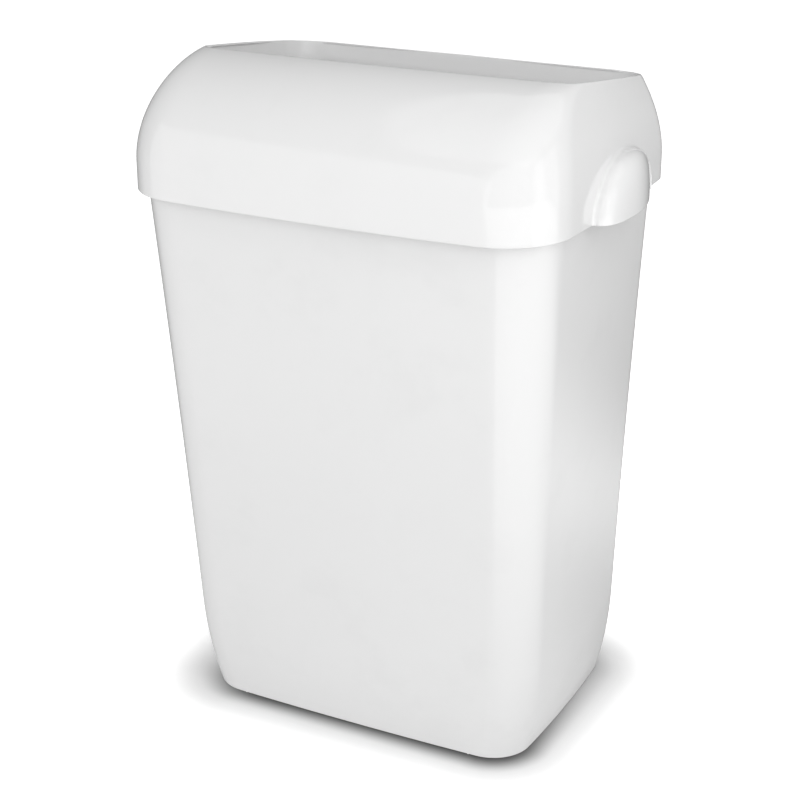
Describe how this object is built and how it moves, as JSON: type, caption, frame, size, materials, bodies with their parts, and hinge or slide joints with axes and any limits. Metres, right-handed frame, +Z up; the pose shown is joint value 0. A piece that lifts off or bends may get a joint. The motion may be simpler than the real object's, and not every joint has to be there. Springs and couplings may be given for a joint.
{
  "type": "washroom waste bin",
  "caption": "Tapered open-topped waste bin with a domed lift-off hood, two finger pulls and a wire bag ring held in clips inside the rim.",
  "frame": {"origin": "on the floor, under the middle of the overall box", "axes": "+Z up; -Y is the bowed front; +Y is the flat back that stands against a wall; +X is to the right seen from the front"},
  "size_m": [0.4386, 0.2851, 0.6],
  "materials": {
    "tub_plastic": "glossy white",
    "hood_plastic": "glossy white",
    "ring_steel": "drawn and plated wire",
    "clip_plastic": "satin pale grey",
    "foot_rubber": "matt dark grey"
  },
  "bodies": {
    "tub": {"tub": "tub_plastic", "ring_clip_front_left": "clip_plastic", "ring_clip_front_right": "clip_plastic", "ring_clip_rear_left": "clip_plastic", "ring_clip_rear_right": "clip_plastic", "foot_front_left": "foot_rubber", "foot_front_right": "foot_rubber", "foot_rear_left": "foot_rubber", "foot_rear_right": "foot_rubber"},
    "bag_ring": {"bag_ring": "ring_steel"},
    "hood": {"hood": "hood_plastic"}
  },
  "joints": [
    {"name": "bag_ring_lift", "type": "slide", "parent": "tub", "child": "bag_ring", "axis": [0, 0, 1], "range_m": [0, 0.15]},
    {"name": "hood_lift", "type": "slide", "parent": "bag_ring", "child": "hood", "axis": [0, 0, 1], "range_m": [0, 0.25]}
  ]
}
